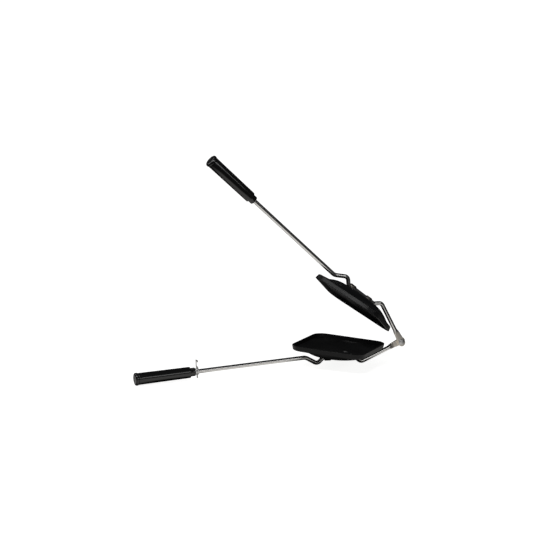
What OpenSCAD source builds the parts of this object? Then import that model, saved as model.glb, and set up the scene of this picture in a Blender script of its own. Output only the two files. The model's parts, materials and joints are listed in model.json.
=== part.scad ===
// Stovetop sandwich toaster: two domed square pans on bent rods with a riveted lap hinge
//
// Each half is drawn once in its own frame: origin at the hinge pin, +X from the pan
// towards the hinge, +Z outwards from the plane where the two pans meet. The lower half
// is mirrored through that plane. The toaster stands on its lower handle's end and on the
// lower rod's last bend, with +Z up and the floor at z = 0.

/* [Pans] */
// Side of each square pan over its rim
pan_side = 115; // [110:1:119]
// Radius of the rim's corners
pan_corner_r = 18; // [14:1:24]
// Height of the wall round the rim
rim_wall_h = 7.8; // [7:0.2:9]
// How far the wall leans in over its height
wall_draft = 1.2; // [0.6:0.1:1.8]
// Rounding between the wall and the land
land_round = 2.2; // [1.4:0.2:3]
// Height of the land at the foot of the dome
land_h = 10.6; // [10:0.2:12]
// Radius of the dome at its foot
dome_foot_r = 53; // [50:0.5:54]
// Height of the dome's flat top
dome_h = 17.6; // [16:0.2:20]
// Radius of the dome's flat top
dome_top_r = 33; // [30:1:38]
// Thickness of the pan's sheet
pan_wall = 2.5; // [1.6:0.1:3]
// Gap between the two rims when the pans are shut
rim_gap = 0.4; // [0.3:0.1:1]

/* [Rods] */
// Diameter of the rods
rod_d = 6.35; // [6:0.05:7]
// Distance from the centre of the pan to the hinge pin
hinge_reach = 103; // [98:1:110]
// Slope of the arm that runs up to the hinge pin
arm_angle = 24; // [22:0.2:25]
// Half the length of rod that lies on the pan, towards the hinge
seat_front = 28; // [26:0.5:30]
// Half the length of rod that lies on the pan, towards the handle
seat_back = 24.5; // [24:0.5:27]
// Slope of the rod where it leaves its seat towards the hinge
front_rise_angle = 36; // [32:1:40]
// Slope of the rod where it leaves its seat towards the handle
rise_angle = 47; // [42:1:50]
// Slope of the rod from the hump down to the toe
fall_angle = 27; // [24:1:30]
// Distance from the centre of the pan to the toe bend
toe_x = 52.5; // [50:0.5:55]
// Height of the rod's axis at the toe bend
toe_h = 19.3; // [18.5:0.1:20]
// Slope of the straight rod that carries the handle
grip_angle = 5; // [4:0.2:6]
// Length of rod from the toe bend to the handle's neck
rod_free = 173.5; // [150:0.5:190]
// Bend radius at the arm and the hump
bend_r = 7; // [6:0.5:8]
// Bend radius at both ends of the seat
seat_bend_r = 4.5; // [4:0.25:5.5]
// Bend radius at the toe
toe_bend_r = 12; // [8:1:16]

/* [Hinge] */
// Radius of the round end of each blade
knuckle_r = 5.6; // [5:0.1:6]
// Distance from the pin to the centre of that round end
knuckle_over = 1.8; // [0:0.1:2.4]
// Length over which the rod flattens into its blade
flare_len = 22; // [20:1:26]
// Distance from the pin to the step in the blade
shoulder_len = 12; // [11:0.5:13]
// Thickness of each blade
blade_t = 3; // [2.6:0.1:3]
// Gap between the two blades
blade_gap = 0.2; // [0.1:0.05:0.3]
// Diameter of the hinge rivet
rivet_d = 5; // [4.5:0.1:5.4]
// Running clearance of the upper blade on the rivet
pin_clear = 0.05; // [0.03:0.01:0.08]
// Radius of the rivet's domed head
rivet_head_r = 4.8; // [4.2:0.1:5]
// Height of the rivet's domed head
rivet_head_h = 2; // [1.4:0.1:2.4]
// Radius of the rivet's tail head
rivet_tail_r = 3.75; // [3.4:0.05:4.2]
// Height of the rivet's tail head
rivet_tail_h = 1.4; // [1:0.1:1.8]
// Thickness of the washer under the rivet's tail
hinge_washer_t = 1; // [0.8:0.1:1.5]
// Angle between the pans in the stored pose
open_angle = 34.6; // [0:0.2:60]

/* [Handles] */
// Radius of the handle at its rear end
grip_r = 8.6; // [8.4:0.1:9]
// Radius of the handle beside its neck
grip_front_r = 8.1; // [7.8:0.1:8.4]
// Length of the handle behind its neck
grip_len = 79; // [72:0.5:95]
// Radius of the handle's neck
neck_r = 6.25; // [5.8:0.05:6.8]
// Length of the handle's neck
neck_len = 7.5; // [6:0.5:10]
// Rounding of the handle's edges
grip_round = 0.9; // [0.5:0.1:1.4]
// Clearance of the handle's bore round the rod
bore_clear = 0.08; // [0.04:0.02:0.15]
// Radius of the recess in the handle's rear end
recess_r = 6.2; // [6.1:0.05:6.5]
// Depth of the recess
recess_depth = 9.4; // [9:0.2:11]
// Radius of the end cap's bead
bead_r = 9.3; // [9.2:0.1:10]
// Thickness of the end cap's bead
bead_t = 4.4; // [4:0.2:5.4]
// Rounding of the bead
bead_round = 1.6; // [1:0.1:1.9]
// Length of the end cap's spigot
spigot_len = 2.2; // [1.6:0.1:2.4]
// Diameter of the rod's threaded end
thread_d = 6; // [5.4:0.1:6]
// Thickness of the washer in the recess
grip_washer_t = 1.2; // [1:0.1:1.4]
// Width of the nut across its flats
nut_flats = 10; // [9.5:0.1:10.4]
// Thickness of the nut
nut_t = 4; // [3.4:0.1:4.2]
// Length of thread past the nut
thread_over = 1.2; // [0.8:0.1:1.4]

/* [Saddles] */
// Distance of each saddle from the centre of the pan
saddle_x = 16.5; // [15:0.5:17.5]
// Width of each saddle along the rod
saddle_w = 9; // [8:0.5:10]
// Thickness of the saddles' strip
saddle_t = 1.2; // [1:0.1:1.5]
// Distance of each saddle rivet from the rod's axis
saddle_rivet_y = 9.4; // [9:0.1:11]
// Diameter of the saddle rivets
saddle_rivet_d = 3.6; // [3:0.1:4]
// Height of the saddle rivets' domed heads
saddle_head_h = 1.2; // [0.8:0.1:1.6]
// Radius of the saddle rivets' domed heads
saddle_head_r = 3.05; // [2.8:0.05:3.4]
// Height of the heads that the rivets have inside the pan
saddle_tail_h = 0.7; // [0.5:0.1:1]
// Clearance between the rod and a saddle
saddle_clear = 0.05; // [0.02:0.01:0.1]

/* [Latch] */
// Thickness of the clip's plate
clip_t = 1.2; // [1:0.1:1.6]
// Width of the clip across its hook
clip_w = 8.8; // [8.4:0.2:10]
// Height of the clip above the rod's axis
clip_top = 17; // [16:0.5:20]
// Length of the clip's tail below the rod's axis
clip_tail = 9.5; // [7:0.5:12]
// Width of the clip's tail
clip_tail_w = 4.6; // [4:0.2:6]
// Rounding of the clip's upper corners
clip_corner_r = 1.2; // [0.8:0.1:1.6]
// How far the clip bulges at each side round its eye
clip_bulge = 0.8; // [0.5:0.1:1.2]
// Width of the hook beside the notch
clip_hook_w = 2; // [1.6:0.1:2.4]
// Height of the notch's centre above the rod's axis
notch_h = 10.9; // [10.5:0.1:11.2]
// Play of the other rod in the notch
notch_play = 0.5; // [0.3:0.1:0.6]
// Running clearance of the clip's eye on the rod
eye_clear = 0.06; // [0.04:0.01:0.09]
// Play of the clip between the spacer and the retainer
clip_play = 0.12; // [0.1:0.01:0.2]
// Length of the spacer between the neck and the clip
spacer_len = 2.8; // [2:0.2:4]
// Radius of the spacer and of the retaining ring
spacer_r = 4.6; // [4.3:0.1:5]
// Thickness of the retaining ring
retainer_t = 1.1; // [0.8:0.1:1.6]

/* [Hidden] */
$fn = 72;

// Close fit between pieces of one half
seat_clear = 0.02;
// Loose fit of the washer and of the end cap's spigot in the handle's recess
washer_clear = 0.3;
spigot_clear = 0.1;
// How far a cutter runs past what it cuts, and the least lap between joined solids
cut_over = 1;
touch_lap = 0.001;
// Sides of the small edge roundings
edge_fn = 32;
// The rod swells this much in a bend, and the bend laps over each straight run by an angle
bend_swell = 0.03;
bend_lap = 2;
// How far the rod reaches into its blade, and how the forged root swells and widens
rod_lap = 1;
root_swell = 0.3;
root_len = 2.5;
flare_slope = 0.2;
rod_r = rod_d / 2;
thread_r = thread_d / 2;
// Heights of the pan's flat top and of the rod's axis on it
top_h = rim_gap / 2 + dome_h;
seat_h = top_h + rod_r;

// Route of the rod's axis in the half's own plane, from the pin to the toe
seat_front_x = seat_front - hinge_reach;
seat_back_x = -seat_back - hinge_reach;
arm_bend_x = (seat_front_x * tan(front_rise_angle) - seat_h) / (tan(arm_angle) + tan(front_rise_angle));
arm_bend = [arm_bend_x, -arm_bend_x * tan(arm_angle)];
seat_start = [seat_front_x, seat_h];
seat_end = [seat_back_x, seat_h];
toe = [-toe_x - hinge_reach, rim_gap / 2 + toe_h];
hump_rise = toe[1] - seat_h + (seat_back_x - toe[0]) * tan(fall_angle);
hump_run = hump_rise / (tan(rise_angle) + tan(fall_angle));
hump = [seat_back_x - hump_run, seat_h + hump_run * tan(rise_angle)];

// Direction and places along the straight rod that carries the handle
grip_dir = [-cos(grip_angle), sin(grip_angle)];
grip_out = [sin(grip_angle), cos(grip_angle)];
neck_at = rod_free;
grip_at = neck_at + neck_len;
cap_at = grip_at + grip_len;
recess_at = cap_at - recess_depth;
thread_end = recess_at + grip_washer_t + nut_t + thread_over;
spacer_at = neck_at - spacer_len;
clip_at = spacer_at - clip_play / 2 - clip_t;
retainer_at = clip_at - clip_play / 2 - retainer_t;
arm_start = flare_len - rod_lap;
blade_face = blade_gap / 2 + blade_t;
arm_dir = [-cos(arm_angle), sin(arm_angle)];

// Bends of the rod: corner points with a radius each
route = [
    arm_start * arm_dir, arm_bend, seat_start, seat_end, hump, toe, toe + recess_at * grip_dir
];
route_r = [0, bend_r, seat_bend_r, seat_bend_r, bend_r, toe_bend_r, 0];

// Geometry of one bend
function unit(v) = v / norm(v);
function run(i) = unit(route[i + 1] - route[i]);
function turn(i) = let (a = run(i - 1), b = run(i)) atan2(a[0] * b[1] - a[1] * b[0], a * b);
function tangent(i) = route_r[i] == 0 ? 0 : route_r[i] * tan(abs(turn(i)) / 2);
function bend_centre(i) = route[i] + unit(run(i) - run(i - 1)) * route_r[i] / cos(turn(i) / 2);
function heading(v) = atan2(v[1], v[0]);

// Standing pose: one line touches the arm's bend and the bead from below
arm_touch = bend_centre(1);
bead_touch = toe + (cap_at + bead_t - bead_round) * grip_dir + (bead_r - bead_round) * grip_out;
touch_run = bead_touch - arm_touch;
arm_touch_r = bend_r + rod_r;
stand_tilt = 180 - asin((arm_touch_r - bead_round) / norm(touch_run)) - heading(touch_run);
function stood(p) = [
    p[0] * cos(stand_tilt) - p[1] * sin(stand_tilt), -p[0] * sin(stand_tilt) - p[1] * cos(stand_tilt)
];
cap_back = stood(toe + (cap_at + bead_t - bead_round) * grip_dir - (bead_r - bead_round) * grip_out);
knuckle_tip = stood(-knuckle_over * arm_dir);
pin_x = -(cap_back[0] - bead_round + knuckle_tip[0] + knuckle_r) / 2;
pin_z = arm_touch_r - stood(arm_touch)[1];

// Placement
module lower() {
    translate([pin_x, 0, pin_z]) rotate([0, stand_tilt, 0]) mirror([0, 0, 1]) children();
}
module upper() {
    translate([pin_x, 0, pin_z]) rotate([0, stand_tilt + open_angle, 0]) children();
}
module over_pan(h = 0) {
    translate([-hinge_reach, 0, h]) children();
}
module along_grip(s) {
    at = toe + s * grip_dir;
    translate([at[0], 0, at[1]]) rotate([0, grip_angle - 90, 0]) children();
}
module along_arm(s) {
    at = s * arm_dir;
    translate([at[0], 0, at[1]]) rotate([0, arm_angle - 90, 0]) children();
}

// Small shared forms
module dome(r, h) {
    ball_r = (r * r + h * h) / (2 * h);
    intersection() {
        translate([0, 0, h - ball_r]) sphere(r = ball_r);
        cylinder(r = r + cut_over, h = h + cut_over);
    }
}
module ring(r_out, r_in, h) {
    difference() {
        cylinder(r = r_out, h = h);
        translate([0, 0, -cut_over]) cylinder(r = r_in, h = h + 2 * cut_over);
    }
}
module rounded_bar(r_start, r_end, h, edge) {
    rotate_extrude() union() {
        polygon([
            [0, 0], [r_start - edge, 0], [r_start, edge], [r_end, h - edge], [r_end - edge, h], [0, h]
        ]);
        translate([r_start - edge, edge]) circle(r = edge, $fn = edge_fn);
        translate([r_end - edge, h - edge]) circle(r = edge, $fn = edge_fn);
    }
}

// Pan: a rounded square at the rim that turns into a round dome, lofted ring by ring
corner_steps = 12;
dome_steps = 7;
land_steps = 2;
// A ring is [half side, corner radius, height]
function ring_points(half, corner, h) = [
    for (c = [0:3], k = [0:corner_steps])
        let (centre = (half - corner) * sqrt(2), a = 90 * c - 45 + 90 * k / corner_steps)
        [centre * cos(90 * c) + corner * cos(a), centre * sin(90 * c) + corner * sin(a), h]
];
round_share = 0.97;
// Shares of the sheet's thickness by which the dome inside is narrower at its foot and top
foot_share = 0.6;
top_share = 0.3;
function dome_ring(t, foot, top, land, high) =
    let (r = foot + (top - foot) * t) [r, r * round_share, land + (high - land) * sin(90 * t)];
function pan_rings(t) =
    let (
        half = pan_side / 2 - t,
        corner = pan_corner_r - t,
        wall = rim_wall_h - t,
        foot = dome_foot_r - t * foot_share,
        top = dome_top_r - t * top_share,
        land = land_h - t,
        high = dome_h - t,
        lean = wall_draft * (wall - land_round) / wall,
        edge_half = half - lean,
        edge_corner = corner - lean,
        flat_half = edge_half - land_round,
        flat_corner = edge_corner - land_round
    ) concat(
        [[half, corner, 0]],
        [for (a = [0:30:90])
            [edge_half - land_round * (1 - cos(a)), edge_corner - land_round * (1 - cos(a)),
                wall - land_round * (1 - sin(a))]],
        [for (k = [1:land_steps])
            let (u = k / (land_steps + 1))
            [flat_half + (foot - flat_half) * u, flat_corner + (foot * round_share - flat_corner) * u,
                wall + (land - wall) * u]],
        [for (k = [0:dome_steps]) dome_ring(k / dome_steps, foot, top, land, high)]
    );
module loft(rings) {
    n = 4 * (corner_steps + 1);
    last = len(rings) - 1;
    polyhedron(
        points = [for (s = rings) each ring_points(s[0], s[1], s[2])],
        faces = concat(
            [[for (k = [0:n - 1]) k]],
            [for (j = [0:last - 1], k = [0:n - 1])
                [j * n + k, (j + 1) * n + k, (j + 1) * n + (k + 1) % n]],
            [for (j = [0:last - 1], k = [0:n - 1])
                [j * n + k, (j + 1) * n + (k + 1) % n, j * n + (k + 1) % n]],
            [[for (k = [n - 1:-1:0]) last * n + k]]
        )
    );
}
module at_saddle_rivets() {
    for (x = [-saddle_x, saddle_x], y = [-saddle_rivet_y, saddle_rivet_y]) {
        translate([x, y, 0]) children();
    }
}
module half_pan() {
    over_pan(rim_gap / 2) difference() {
        loft(pan_rings(0));
        union() {
            loft(pan_rings(pan_wall));
            translate([0, 0, -cut_over]) linear_extrude(cut_over + touch_lap) pan_mouth();
        }
        at_saddle_rivets() cylinder(d = saddle_rivet_d + 2 * seat_clear, h = dome_h + cut_over);
    }
}
module pan_mouth() {
    half = pan_side / 2 - pan_wall;
    polygon([for (p = ring_points(half, pan_corner_r - pan_wall, 0)) [p[0], p[1]]]);
}

// Rod: straight runs and bends along the route, a flattened blade and a threaded end
module rod_run(i) {
    from = route[i] + tangent(i) * run(i);
    length = norm(route[i + 1] - route[i]) - tangent(i) - tangent(i + 1);
    translate([from[0], 0, from[1]])
        rotate([0, 90 - heading(run(i)), 0])
        cylinder(r = rod_r, h = length);
}
module rod_bend(i) {
    centre = bend_centre(i);
    first = turn(i) > 0 ? route[i] - tangent(i) * run(i - 1) : route[i] + tangent(i) * run(i);
    translate([centre[0], 0, centre[1]])
        rotate([90, 0, 0])
        rotate([0, 0, heading(first - centre) - bend_lap])
        rotate_extrude(angle = abs(turn(i)) + 2 * bend_lap)
        translate([route_r[i], 0]) circle(r = rod_r + bend_swell);
}
module blade(side) {
    root = rod_r + root_swell;
    lean = asin((knuckle_r - root) / (flare_len + knuckle_over));
    waist = [knuckle_r * cos(lean), knuckle_r * sin(lean) - knuckle_over];
    ramp_end = flare_len - root_len;
    back = 2 * (knuckle_r + knuckle_over);
    intersection() {
        rotate([90, 0, 0]) translate([0, 0, -rod_d]) linear_extrude(2 * rod_d) union() {
            translate([0, -knuckle_over]) circle(r = knuckle_r);
            polygon([[-waist[0], waist[1]], waist, [root, flare_len], [-root, flare_len]]);
        }
        rotate([90, 0, 90]) translate([0, 0, -back]) linear_extrude(2 * back) polygon([
            [side * blade_gap / 2, -back], [side * blade_face, -back],
            [side * blade_face, shoulder_len], [side * root, ramp_end],
            [side * root, flare_len], [-side * root, flare_len],
            [-side * root, ramp_end], [side * blade_gap / 2, shoulder_len]
        ]);
        translate([0, 0, -back]) cylinder(
            r1 = rod_r + flare_slope * (flare_len + back), r2 = rod_r - bend_swell, h = flare_len + back
        );
    }
}
module half_rod(side, play) {
    difference() {
        union() {
            along_arm(0) blade(side);
            for (i = [0:len(route) - 2]) rod_run(i);
            for (i = [1:len(route) - 2]) rod_bend(i);
            along_grip(recess_at - nut_t) cylinder(r = thread_r, h = nut_t + thread_end - recess_at);
        }
        rotate([90, 0, 0]) cylinder(d = rivet_d + 2 * play, h = 4 * rod_d, center = true);
    }
}

// Saddle: a strip bent over the rod with two riveted ears
module half_saddle(x) {
    arch_r = rod_r + saddle_clear;
    ear_end = saddle_rivet_y + saddle_w / 2;
    over_pan(top_h) translate([x, 0, 0]) difference() {
        intersection() {
            rotate([90, 0, 90]) translate([0, 0, -saddle_w / 2]) linear_extrude(saddle_w) difference() {
                union() {
                    translate([0, rod_r]) circle(r = arch_r + saddle_t);
                    translate([-arch_r - saddle_t, 0]) square([2 * (arch_r + saddle_t), rod_r]);
                    translate([-ear_end, 0]) square([2 * ear_end, saddle_t]);
                }
                translate([0, rod_r]) circle(r = arch_r);
                translate([-arch_r, -cut_over]) square([2 * arch_r, rod_r + cut_over]);
            }
            linear_extrude(rod_d + 2 * saddle_t) union() {
                square([saddle_w, 2 * saddle_rivet_y], center = true);
                for (y = [-saddle_rivet_y, saddle_rivet_y]) translate([0, y]) circle(d = saddle_w);
            }
        }
        for (y = [-saddle_rivet_y, saddle_rivet_y]) {
            translate([0, y, -cut_over])
                cylinder(d = saddle_rivet_d + 2 * seat_clear, h = saddle_t + 2 * cut_over);
        }
    }
}
module half_saddle_rivets() {
    grip = saddle_t + pan_wall;
    over_pan(top_h - pan_wall) at_saddle_rivets() {
        cylinder(d = saddle_rivet_d, h = grip);
        translate([0, 0, grip]) dome(saddle_head_r, saddle_head_h);
        mirror([0, 0, 1]) dome(saddle_head_r, saddle_tail_h);
    }
}

// Handle and what closes its rear end
module half_handle() {
    along_grip(neck_at) difference() {
        union() {
            rounded_bar(neck_r, neck_r, neck_len + 2 * grip_round, grip_round);
            translate([0, 0, neck_len]) rounded_bar(grip_front_r, grip_r, grip_len, grip_round);
        }
        translate([0, 0, -cut_over]) cylinder(r = rod_r + bore_clear, h = neck_len + grip_len);
        translate([0, 0, recess_at - neck_at]) cylinder(r = recess_r, h = recess_depth + cut_over);
    }
}
module half_handle_washer() {
    along_grip(recess_at) ring(recess_r - washer_clear, thread_r + seat_clear, grip_washer_t);
}
module half_handle_nut() {
    along_grip(recess_at + grip_washer_t) difference() {
        cylinder(r = nut_flats / 2 / cos(30), h = nut_t, $fn = 6);
        translate([0, 0, -cut_over]) cylinder(r = thread_r + seat_clear, h = nut_t + 2 * cut_over);
    }
}
module half_end_cap() {
    along_grip(cap_at) union() {
        rounded_bar(bead_r, bead_r, bead_t, bead_round);
        translate([0, 0, -spigot_len]) cylinder(r = recess_r - spigot_clear, h = spigot_len + bead_t / 2);
    }
}

// Hinge rivet and washer
module hinge_rivet() {
    color("#b9bcc0") lower() union() {
        rotate([90, 0, 0]) translate([0, 0, -blade_face - hinge_washer_t])
            cylinder(d = rivet_d, h = 2 * blade_face + hinge_washer_t + blade_gap / 2);
        translate([0, -blade_face - blade_gap / 2, 0]) rotate([90, 0, 0]) dome(rivet_head_r, rivet_head_h);
        translate([0, blade_face + hinge_washer_t, 0])
            rotate([-90, 0, 0]) dome(rivet_tail_r, rivet_tail_h);
    }
}
module hinge_washer() {
    color("#9a9da1") lower() translate([0, blade_face, 0]) rotate([-90, 0, 0])
        ring(rivet_head_r, rivet_d / 2 + seat_clear, hinge_washer_t);
}

// Latch on the lower rod: its outline has X away from the floor and Y across the rod
module clip_outline() {
    tail_r = clip_tail_w / 2;
    corner_y = clip_w / 2 - clip_corner_r;
    notch_r = rod_r + notch_play / 2;
    notch_y = notch_r - clip_w / 2 + clip_hook_w;
    difference() {
        union() {
            circle(r = clip_w / 2 + clip_bulge);
            translate([0, -clip_w / 2]) square([clip_top - clip_corner_r, clip_w]);
            translate([0, -corner_y]) square([clip_top, 2 * corner_y]);
            for (y = [-corner_y, corner_y]) {
                translate([clip_top - clip_corner_r, y]) circle(r = clip_corner_r);
            }
            translate([tail_r - clip_tail, -tail_r]) square([clip_tail, clip_tail_w]);
            translate([tail_r - clip_tail, 0]) circle(r = tail_r);
        }
        circle(r = rod_r + eye_clear);
        translate([notch_h, notch_y]) circle(r = notch_r);
        translate([notch_h - notch_r, notch_y]) square([2 * notch_r, clip_w]);
    }
}
module latch_clip() {
    color("#c4c6c8") lower() along_grip(clip_at) rotate([0, 0, 180]) linear_extrude(clip_t) clip_outline();
}
module latch_spacer() {
    color("#a8abae") lower() along_grip(spacer_at) ring(spacer_r, rod_r + seat_clear, spacer_len);
}
module latch_retainer() {
    color("#a8abae") lower() along_grip(retainer_at) ring(spacer_r, rod_r + seat_clear, retainer_t);
}

// The two halves
module lower_pan() { color("#1d1d20") lower() half_pan(); }
module upper_pan() { color("#1d1d20") upper() half_pan(); }
module lower_rod() { color("#c9ccd1") lower() half_rod(1, seat_clear); }
module upper_rod() { color("#c9ccd1") upper() half_rod(-1, pin_clear); }
module lower_front_saddle() { color("#a4a7ab") lower() half_saddle(saddle_x); }
module lower_rear_saddle() { color("#a4a7ab") lower() half_saddle(-saddle_x); }
module upper_front_saddle() { color("#a4a7ab") upper() half_saddle(saddle_x); }
module upper_rear_saddle() { color("#a4a7ab") upper() half_saddle(-saddle_x); }
module lower_saddle_rivets() { color("#b9bcc0") lower() half_saddle_rivets(); }
module upper_saddle_rivets() { color("#b9bcc0") upper() half_saddle_rivets(); }
module lower_handle() { color("#111113") lower() half_handle(); }
module upper_handle() { color("#111113") upper() half_handle(); }
module lower_handle_washer() { color("#a8abae") lower() half_handle_washer(); }
module upper_handle_washer() { color("#a8abae") upper() half_handle_washer(); }
module lower_handle_nut() { color("#8f9296") lower() half_handle_nut(); }
module upper_handle_nut() { color("#8f9296") upper() half_handle_nut(); }
module lower_end_cap() { color("#141416") lower() half_end_cap(); }
module upper_end_cap() { color("#141416") upper() half_end_cap(); }

lower_pan();
upper_pan();
lower_rod();
upper_rod();
hinge_rivet();
hinge_washer();
lower_front_saddle();
lower_rear_saddle();
upper_front_saddle();
upper_rear_saddle();
lower_saddle_rivets();
upper_saddle_rivets();
lower_handle();
upper_handle();
lower_handle_washer();
upper_handle_washer();
lower_handle_nut();
upper_handle_nut();
lower_end_cap();
upper_end_cap();
latch_clip();
latch_spacer();
latch_retainer();
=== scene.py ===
"""Looks of a long-handled sandwich toaster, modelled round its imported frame.

All sizes below are in millimetres, as on a workshop drawing, and every mesh is made in
metres in the frame's own axes. Each half is drawn in its own plane first: origin at the
hinge pin, +X from the pan towards the hinge, +Z outwards from where the pans meet.
"""

import json
import logging
import math
from dataclasses import dataclass
from enum import Enum
from typing import Callable, Iterable, Sequence

import bpy
from mathutils import Matrix, Vector


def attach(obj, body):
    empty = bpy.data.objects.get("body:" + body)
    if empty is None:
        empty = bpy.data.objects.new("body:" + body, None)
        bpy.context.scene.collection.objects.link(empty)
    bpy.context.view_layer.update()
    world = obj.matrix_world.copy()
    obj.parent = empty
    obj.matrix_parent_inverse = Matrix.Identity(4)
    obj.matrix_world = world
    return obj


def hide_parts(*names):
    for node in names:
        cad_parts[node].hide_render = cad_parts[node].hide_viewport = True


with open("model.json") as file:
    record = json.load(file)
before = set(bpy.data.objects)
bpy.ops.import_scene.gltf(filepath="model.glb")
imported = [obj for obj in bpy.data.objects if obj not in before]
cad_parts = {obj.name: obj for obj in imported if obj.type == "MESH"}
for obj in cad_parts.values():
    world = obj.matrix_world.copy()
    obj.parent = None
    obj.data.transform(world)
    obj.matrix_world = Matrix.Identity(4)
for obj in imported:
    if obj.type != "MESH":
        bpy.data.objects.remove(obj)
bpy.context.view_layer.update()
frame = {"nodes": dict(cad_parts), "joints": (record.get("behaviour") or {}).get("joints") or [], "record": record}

LOG = logging.getLogger("toaster")
MM = 0.001
# Lengths in metres that differ by less than this are the same
SAME = 0.001 * MM
PICTURE_PX = 540
# Slope of the handles against the plane where the pans meet, in degrees
GRIP_ANGLE = 5.0
# Domed heads are eased only at edges sharper than this, in degrees
DOME_EDGE_DEG = 60.0


# Placing
class Half(Enum):
    """The two halves of the toaster, named by the body that carries each."""

    LOWER = "lower_half"
    UPPER = "upper_half"

    @property
    def prefix(self) -> str:
        """First word of the names of this half's nodes and pieces."""
        return self.value.split("_")[0]


class Standing:
    """How the toaster stands: the hinge pin's place and the slope of each half."""

    def __init__(self) -> None:
        """Reads the pin, the opening and the slope from the frame."""
        hinge = next(j for j in frame["joints"] if j["name"] == "hinge")
        end = next(m for m in frame["record"]["mounts"] if m["name"] == "lower_handle_end")
        self.pin = Vector(hinge["pos_m"])
        self.open_angle = math.radians(-hinge["range_deg"][0])
        self.tilt = math.radians(GRIP_ANGLE) + math.asin(end["axis"][2])

    def matrix(self, half: Half) -> Matrix:
        """Placement of one half.

        Args:
            half: which half is placed.

        Returns:
            The matrix from the half's own plane, in metres, to the frame.
        """
        if half is Half.UPPER:
            return Matrix.Translation(self.pin) @ Matrix.Rotation(self.tilt + self.open_angle, 4, "Y")
        turn = Matrix.Rotation(self.tilt, 4, "Y")
        return Matrix.Translation(self.pin) @ turn @ Matrix.Scale(-1, 4, (0, 0, 1))


STANDING = Standing()


# Workbench
def clear_selection() -> None:
    """Leaves edit mode and deselects everything."""
    if bpy.context.object and bpy.context.object.mode != "OBJECT":
        bpy.ops.object.mode_set(mode="OBJECT")
    bpy.ops.object.select_all(action="DESELECT")


def take_up(piece: bpy.types.Object) -> None:
    """Makes one object the only selected and active one.

    Args:
        piece: the object.
    """
    clear_selection()
    piece.select_set(True)
    bpy.context.view_layer.objects.active = piece


def same(first: float, second: float) -> bool:
    """Says whether two lengths in metres are the same."""
    return abs(first - second) < SAME


def pick_edges(piece: bpy.types.Object, test: Callable[[Vector, Vector], bool]) -> None:
    """Selects some edges of the active mesh and leaves it in edit mode.

    Args:
        piece: the active object.
        test: says of an edge's two ends, in metres, whether it is selected.
    """
    bpy.ops.object.mode_set(mode="EDIT")
    bpy.ops.mesh.select_mode(type="EDGE")
    bpy.ops.mesh.select_all(action="DESELECT")
    bpy.ops.object.mode_set(mode="OBJECT")
    points = piece.data.vertices
    for edge in piece.data.edges:
        first, second = edge.vertices
        edge.select = bool(test(points[first].co, points[second].co))
    bpy.ops.object.mode_set(mode="EDIT")


def apply_modifier(piece: bpy.types.Object, kind: str, **values: object) -> None:
    """Adds one modifier to the active object and applies it.

    Args:
        piece: the active object, in object mode.
        kind: the modifier's type.
        values: its settings by name.
    """
    modifier = piece.modifiers.new(kind.title(), kind)
    for name, value in values.items():
        setattr(modifier, name, value)
    bpy.ops.object.modifier_apply(modifier=modifier.name)


def ease_edges(piece: bpy.types.Object, width: float, sharp_deg: float = 35.0) -> None:
    """Breaks the sharp edges of the active object.

    Args:
        piece: the active object, in object mode.
        width: width of the eased edge, in millimetres.
        sharp_deg: edges sharper than this are eased.
    """
    apply_modifier(
        piece, "BEVEL", width=width * MM, segments=2, limit_method="ANGLE",
        angle_limit=math.radians(sharp_deg), use_clamp_overlap=True,
    )


def point_outwards() -> None:
    """Makes all faces of the active object agree on which side is out, and leaves edit mode."""
    bpy.ops.object.mode_set(mode="EDIT")
    bpy.ops.mesh.select_all(action="SELECT")
    bpy.ops.mesh.normals_make_consistent(inside=False)
    bpy.ops.object.mode_set(mode="OBJECT")


def face_up(piece: bpy.types.Object) -> None:
    """Makes an open skin point upwards on the whole.

    Args:
        piece: the active object.
    """
    point_outwards()
    if sum(face.normal.z * face.area for face in piece.data.polygons) < 0:
        piece.data.flip_normals()


def settle(piece: bpy.types.Object, matrix: Matrix, smooth_deg: float = 40.0) -> None:
    """Puts a finished mesh in its place in the frame and shades it.

    Args:
        piece: the object, at the origin.
        matrix: from the mesh's own space to the frame.
        smooth_deg: edges sharper than this stay sharp.
    """
    take_up(piece)
    piece.data.transform(matrix)
    point_outwards()
    bpy.ops.object.shade_smooth_by_angle(angle=math.radians(smooth_deg))


def hand_over(piece: bpy.types.Object, finish: "Finish", body: str, node: str) -> None:
    """Dresses a piece and puts it on its body in place of a frame node.

    Args:
        piece: the finished mesh, in its place.
        finish: the finish it gets.
        body: the body that it rides on.
        node: the node that it stands for.
    """
    piece.name = f"{node}_finished"
    finish.dress(piece)
    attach(piece, body)
    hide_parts(node)
    LOG.info("made %s, %d faces", piece.name, len(piece.data.polygons))


def eased_copy(node: str, width: float) -> bpy.types.Object:
    """A welded copy of a frame node with its sharp edges broken.

    Args:
        node: the node's name.
        width: width of the eased edge, in millimetres.

    Returns:
        The new object, in its place.
    """
    weld, flat_deg, smooth_deg = 0.004 * MM, 1.0, 35.0
    piece = bpy.data.objects.new(node, frame["nodes"][node].data.copy())
    bpy.context.scene.collection.objects.link(piece)
    piece.data.materials.clear()
    take_up(piece)
    bpy.ops.object.mode_set(mode="EDIT")
    bpy.ops.mesh.select_all(action="SELECT")
    bpy.ops.mesh.remove_doubles(threshold=weld)
    bpy.ops.mesh.dissolve_limited(angle_limit=math.radians(flat_deg))
    bpy.ops.object.mode_set(mode="OBJECT")
    ease_edges(piece, width)
    bpy.ops.object.shade_smooth_by_angle(angle=math.radians(smooth_deg))
    return piece


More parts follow.
